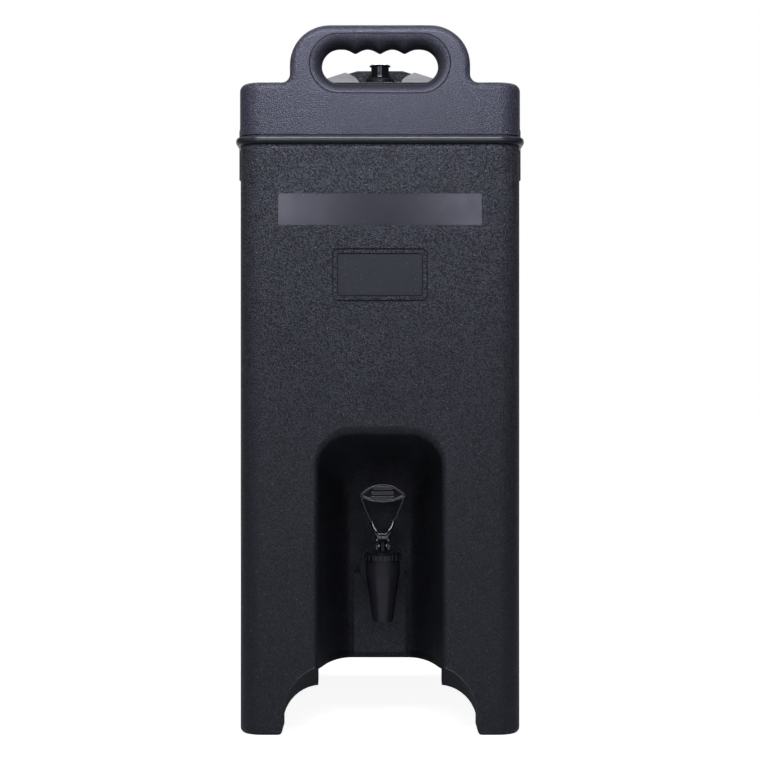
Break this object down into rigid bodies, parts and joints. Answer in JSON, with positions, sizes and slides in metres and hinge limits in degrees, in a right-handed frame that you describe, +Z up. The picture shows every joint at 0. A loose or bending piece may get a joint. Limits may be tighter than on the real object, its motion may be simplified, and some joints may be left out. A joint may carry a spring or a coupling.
{
  "type": "insulated beverage dispenser",
  "caption": "Tall double-walled moulded box that keeps drinks hot or cold, with a lift-off latched lid, a vent cap, end handles and a lever tap in a front recess.",
  "frame": {"origin": "middle of the footprint, on the floor", "axes": "+Z up; -Y is the front with the tap; +X is the user's right when they face the tap"},
  "size_m": [0.2606, 0.4278, 0.616],
  "materials": {
    "shell": "fine leather grain",
    "tank": "smooth satin",
    "foam": "rigid foam",
    "strip": "smooth",
    "lid": "fine grain",
    "gasket": "matte",
    "gloss_black": "gloss",
    "nut": "satin",
    "latch": "satin",
    "steel": "brushed"
  },
  "bodies": {
    "body": {"outer_shell": "shell", "inner_tank": "tank", "foam_insulation": "foam", "shank_spacer": "tank", "label_strip": "strip", "tap_body": "gloss_black", "outer_washer": "gasket", "inner_washer": "gasket", "shank_lock_nut": "nut", "bonnet": "gloss_black", "latch_base_left_front": "latch", "latch_base_left_back": "latch", "latch_base_right_front": "latch", "latch_base_right_back": "latch", "latch_pins": "steel", "latch_screws": "steel"},
    "lid": {"lid_shell": "lid", "lid_tray": "lid", "lid_insulation": "foam", "vent_tube": "lid", "lid_gasket": "gasket", "vent_seal": "gasket"},
    "vent_cap": {"vent_cap": "gloss_black"},
    "tap_stem": {"tap_stem": "gloss_black", "seat_cup": "gasket", "lever_pin": "steel"},
    "tap_lever": {"tap_lever": "gloss_black"},
    "latch_lever_left_front": {"latch_lever_left_front": "latch"},
    "latch_hook_left_front": {"latch_hook_left_front": "latch"},
    "latch_lever_left_back": {"latch_lever_left_back": "latch"},
    "latch_hook_left_back": {"latch_hook_left_back": "latch"},
    "latch_lever_right_front": {"latch_lever_right_front": "latch"},
    "latch_hook_right_front": {"latch_hook_right_front": "latch"},
    "latch_lever_right_back": {"latch_lever_right_back": "latch"},
    "latch_hook_right_back": {"latch_hook_right_back": "latch"}
  },
  "joints": [
    {"name": "lid_lift", "type": "slide", "parent": "body", "child": "lid", "axis": [0, 0, 1], "range_m": [0, 0.12]},
    {"name": "vent_cap_lift", "type": "slide", "parent": "lid", "child": "vent_cap", "axis": [0, 0, 1], "range_m": [0, 0.005]},
    {"name": "tap_stem_lift", "type": "slide", "parent": "body", "child": "tap_stem", "axis": [0, 0, 1], "range_m": [0, 0.003]},
    {"name": "tap_lever_tilt", "type": "hinge", "parent": "tap_stem", "child": "tap_lever", "pos_m": [0.0024, -0.153, 0.16], "axis": [1, 0, 0], "range_deg": [0, 40], "stiffness_Nm_per_rad": 0.6, "springref_deg": -17.19},
    {"name": "latch_lever_left_front_swing", "type": "hinge", "parent": "body", "child": "latch_lever_left_front", "pos_m": [-0.12555, -0.06, 0.538], "axis": [0, 1, 0], "range_deg": [0, 110]},
    {"name": "latch_hook_left_front_swing", "type": "hinge", "parent": "latch_lever_left_front", "child": "latch_hook_left_front", "pos_m": [-0.12555, -0.06, 0.529], "axis": [0, 1, 0], "range_deg": [-121.5, 0]},
    {"name": "latch_lever_left_back_swing", "type": "hinge", "parent": "body", "child": "latch_lever_left_back", "pos_m": [-0.12555, 0.06, 0.538], "axis": [0, 1, 0], "range_deg": [0, 110]},
    {"name": "latch_hook_left_back_swing", "type": "hinge", "parent": "latch_lever_left_back", "child": "latch_hook_left_back", "pos_m": [-0.12555, 0.06, 0.529], "axis": [0, 1, 0], "range_deg": [-121.5, 0]},
    {"name": "latch_lever_right_front_swing", "type": "hinge", "parent": "body", "child": "latch_lever_right_front", "pos_m": [0.12555, -0.06, 0.538], "axis": [0, -1, 0], "range_deg": [0, 110]},
    {"name": "latch_hook_right_front_swing", "type": "hinge", "parent": "latch_lever_right_front", "child": "latch_hook_right_front", "pos_m": [0.12555, -0.06, 0.529], "axis": [0, -1, 0], "range_deg": [-121.5, 0]},
    {"name": "latch_lever_right_back_swing", "type": "hinge", "parent": "body", "child": "latch_lever_right_back", "pos_m": [0.12555, 0.06, 0.538], "axis": [0, -1, 0], "range_deg": [0, 110]},
    {"name": "latch_hook_right_back_swing", "type": "hinge", "parent": "latch_lever_right_back", "child": "latch_hook_right_back", "pos_m": [0.12555, 0.06, 0.529], "axis": [0, -1, 0], "range_deg": [-121.5, 0]}
  ],
  "couplings": [
    {"joint": "tap_stem_lift", "follows": "tap_lever_tilt", "m_per_rad": 0.004297},
    {"joint": "latch_hook_left_front_swing", "follows": "latch_lever_left_front_swing", "ratio": -1.1},
    {"joint": "latch_hook_left_back_swing", "follows": "latch_lever_left_back_swing", "ratio": -1.1},
    {"joint": "latch_hook_right_front_swing", "follows": "latch_lever_right_front_swing", "ratio": -1.1},
    {"joint": "latch_hook_right_back_swing", "follows": "latch_lever_right_back_swing", "ratio": -1.1}
  ]
}
